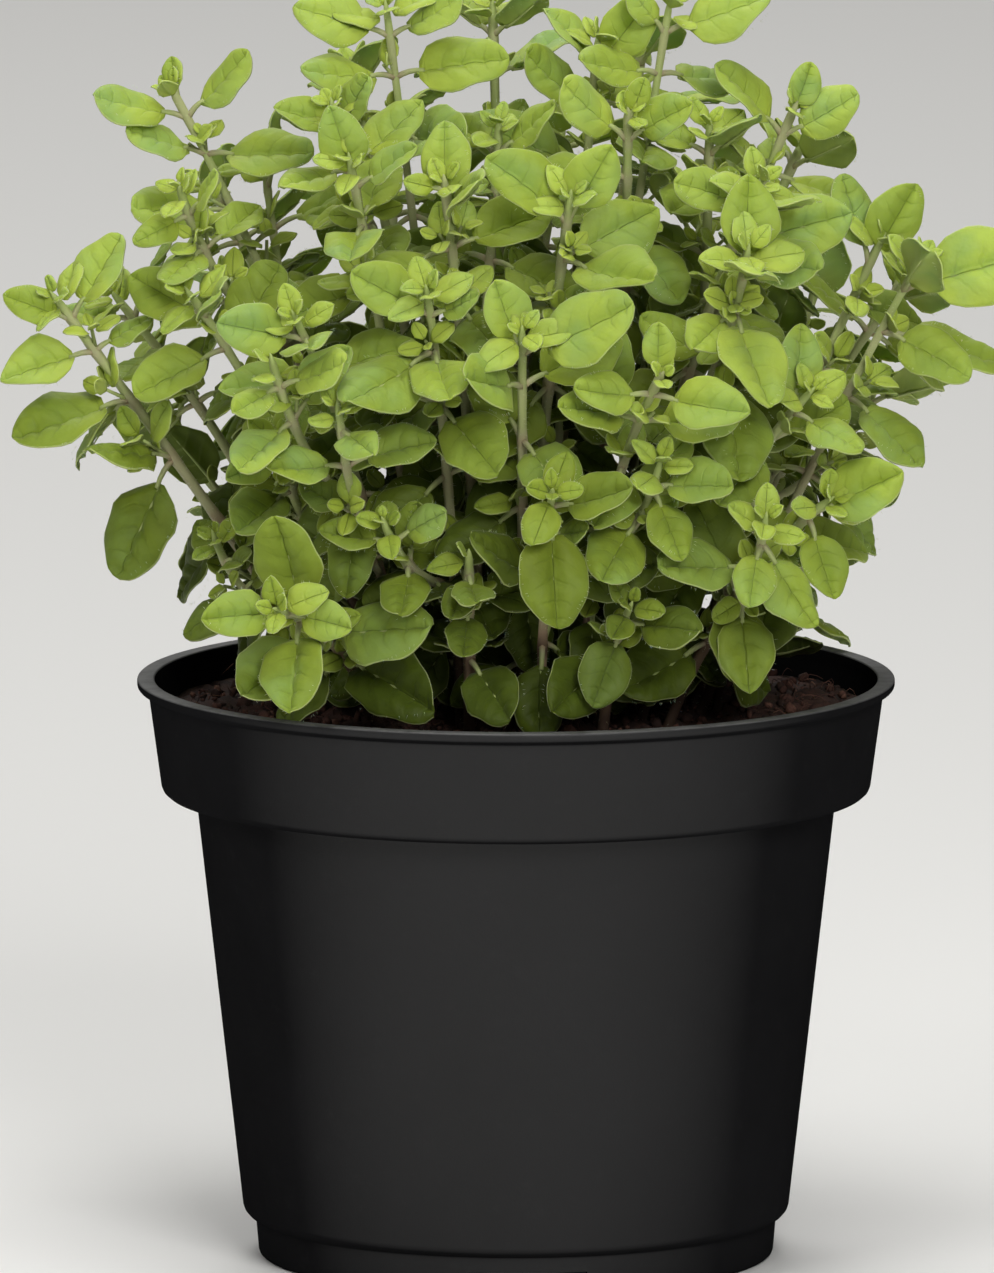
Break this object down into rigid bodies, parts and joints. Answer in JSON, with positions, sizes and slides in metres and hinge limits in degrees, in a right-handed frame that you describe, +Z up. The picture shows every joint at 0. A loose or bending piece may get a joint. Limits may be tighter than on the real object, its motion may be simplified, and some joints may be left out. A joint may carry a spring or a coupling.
{
  "type": "potted oregano plant",
  "caption": "Bushy oregano with small oval leaves on branching square stems, growing from peat in a round tapered black plastic pot with a wide band under its lip.",
  "frame": {"origin": "on the surface the pot stands on, under the middle of the pot, which is the middle of the bottom of the box round the whole plant to within 1.5 mm", "axes": "+Z up along the pot's axis, which is the longest extent; -Y towards the front of the plant, where one of the pot's foot notches is; +X to the right seen from the front"},
  "size_m": [0.1772, 0.1357, 0.2198],
  "materials": {
    "pot_plastic": "matt black moulded plastic with a soft sheen",
    "peat": "moist crumbly reddish brown peat",
    "leaf": "soft hairy yellow green leaf with sunken veins",
    "stem": "pale grey green hairy stem, a little pink at its nodes"
  },
  "bodies": {
    "root": {"pot": "pot_plastic", "soil": "peat", "leafy_stem_01": "leaf", "leafy_stem_02": "leaf", "leafy_stem_03": "leaf", "leafy_stem_04": "leaf", "leafy_stem_05": "leaf", "leafy_stem_06": "leaf", "leafy_stem_07": "leaf", "leafy_stem_08": "leaf", "leafy_stem_09": "leaf", "leafy_stem_10": "leaf", "leafy_stem_11": "leaf", "leafy_stem_12": "leaf", "leafy_stem_13": "leaf", "leafy_stem_14": "leaf", "leafy_stem_15": "leaf", "leafy_stem_16": "leaf", "leafy_stem_17": "leaf", "leafy_stem_18": "leaf", "leafy_stem_19": "leaf", "leafy_stem_20": "leaf", "leafy_stem_21": "leaf", "leafy_stem_22": "leaf", "leafy_stem_23": "leaf", "leafy_stem_24": "leaf", "leafy_stem_25": "leaf", "leafy_stem_26": "leaf", "leafy_stem_27": "leaf", "leafy_stem_28": "leaf", "leafy_stem_29": "leaf", "leafy_stem_30": "leaf", "leafy_stem_31": "leaf", "leafy_stem_32": "leaf", "leafy_stem_33": "leaf"}
  },
  "joints": []
}
